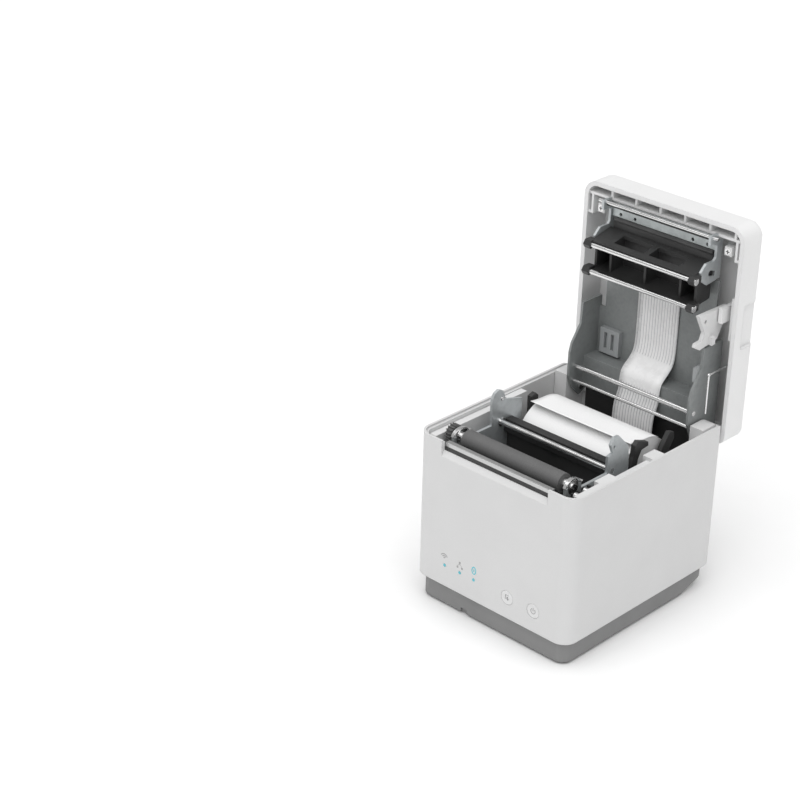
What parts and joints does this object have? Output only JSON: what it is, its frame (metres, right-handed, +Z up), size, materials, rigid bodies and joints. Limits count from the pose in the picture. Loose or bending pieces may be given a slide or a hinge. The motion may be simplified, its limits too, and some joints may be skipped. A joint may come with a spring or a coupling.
{
  "type": "receipt printer",
  "caption": "Compact clamshell receipt printer: white case on a grey base, hinged lid standing open over the platen and paper roll.",
  "frame": {"origin": "centre of the base on the table, under the middle of the case, with the lid open", "axes": "+Z up, -Y out of the front face with the buttons, +X to the right seen from the front"},
  "size_m": [0.09, 0.1213, 0.1742],
  "materials": {
    "base_grey": "fine grained matte",
    "rubber": "matte",
    "case_white": "satin moulded",
    "trim_white": "satin moulded",
    "circuit_green": "solder mask",
    "steel_sheet": "satin zinc plated",
    "steel_bright": "ground bright",
    "steel_strip": "brushed",
    "black_plastic": "satin moulded",
    "motor_steel": "satin",
    "connector_steel": "tinned",
    "led_cyan": "clear lens",
    "paper": "smooth thermal paper",
    "ribbon_white": "flat cable jacket",
    "button_grey": "satin moulded",
    "platen_rubber": "ground rubber",
    "gear_plastic": "moulded acetal",
    "pinion_brass": "cut brass",
    "card_core": "plain card",
    "lid_white": "satin moulded",
    "frame_grey": "satin grey",
    "head_aluminium": "satin",
    "head_dark": "glazed ceramic",
    "clip_grey": "moulded",
    "lever_pale": "moulded acetal"
  },
  "bodies": {
    "case": {"base_tray": "base_grey", "rubber_feet": "rubber", "upper_case": "case_white", "inner_trim": "trim_white", "front_board": "circuit_green", "main_board": "circuit_green", "mech_frame": "steel_sheet", "platen_bushings": "steel_bright", "guide_strip": "steel_strip", "tear_bar": "black_plastic", "cross_shaft": "steel_bright", "paper_bay": "black_plastic", "paper_guides": "black_plastic", "rear_shield": "black_plastic", "stepper_motor": "motor_steel", "hinge_pins": "steel_bright", "power_inlet": "black_plastic", "data_port": "connector_steel", "drawer_port": "black_plastic", "network_port": "connector_steel", "led_lenses": "led_cyan", "case_screws": "steel_bright", "paper_tail": "paper", "flex_ribbon": "ribbon_white"},
    "feed_key": {"feed_button": "button_grey"},
    "power_key": {"power_button": "button_grey"},
    "platen": {"platen_roller": "platen_rubber", "platen_shaft": "steel_bright", "platen_gear": "gear_plastic"},
    "idler": {"idler_gear": "gear_plastic"},
    "motor_rotor": {"motor_pinion": "pinion_brass"},
    "roll": {"paper_roll": "paper", "roll_core": "card_core"},
    "lid": {"lid_cover": "lid_white", "lid_frame": "frame_grey", "head_brackets": "steel_sheet", "head_plate": "head_aluminium", "thermal_head": "head_dark", "guide_cradle": "black_plastic", "cradle_rod_upper": "steel_bright", "cradle_rod_lower": "steel_bright", "front_rod": "steel_bright", "tie_rod_upper": "steel_bright", "tie_rod_lower": "steel_bright", "cable_clip": "clip_grey", "plate_clip": "clip_grey", "lid_wire": "steel_bright", "lid_screws": "steel_bright"},
    "lever": {"latch_lever": "lever_pale"}
  },
  "joints": [
    {"name": "lid_hinge", "type": "hinge", "parent": "case", "child": "lid", "pos_m": [0, 0.0455, 0.0762], "axis": [1, 0, 0], "range_deg": [0, 90], "deforming": ["flex_ribbon"]},
    {"name": "lever_pivot", "type": "hinge", "parent": "lid", "child": "lever", "pos_m": [0.0343, 0.0543, 0.1331], "axis": [-1, 0, 0], "range_deg": [0, 10], "stiffness_Nm_per_rad": 0.02},
    {"name": "feed_press", "type": "slide", "parent": "case", "child": "feed_key", "axis": [0, 1, 0], "range_m": [0, 0.0008], "stiffness_N_per_m": 300},
    {"name": "power_press", "type": "slide", "parent": "case", "child": "power_key", "axis": [0, 1, 0], "range_m": [0, 0.0008], "stiffness_N_per_m": 300},
    {"name": "platen_spin", "type": "hinge", "parent": "case", "child": "platen", "pos_m": [0, -0.0387, 0.0805], "axis": [1, 0, 0], "continuous": true},
    {"name": "idler_spin", "type": "hinge", "parent": "case", "child": "idler", "pos_m": [-0.0358, -0.0317, 0.06838], "axis": [1, 0, 0], "continuous": true},
    {"name": "motor_spin", "type": "hinge", "parent": "case", "child": "motor_rotor", "pos_m": [-0.0358, -0.02388, 0.05799], "axis": [1, 0, 0], "continuous": true},
    {"name": "roll_spin", "type": "hinge", "parent": "case", "child": "roll", "pos_m": [0, 0.0145, 0.063], "axis": [1, 0, 0], "continuous": true}
  ],
  "couplings": [
    {"joint": "idler_spin", "follows": "platen_spin", "ratio": -0.4},
    {"joint": "motor_spin", "follows": "platen_spin", "ratio": 1.3333}
  ]
}
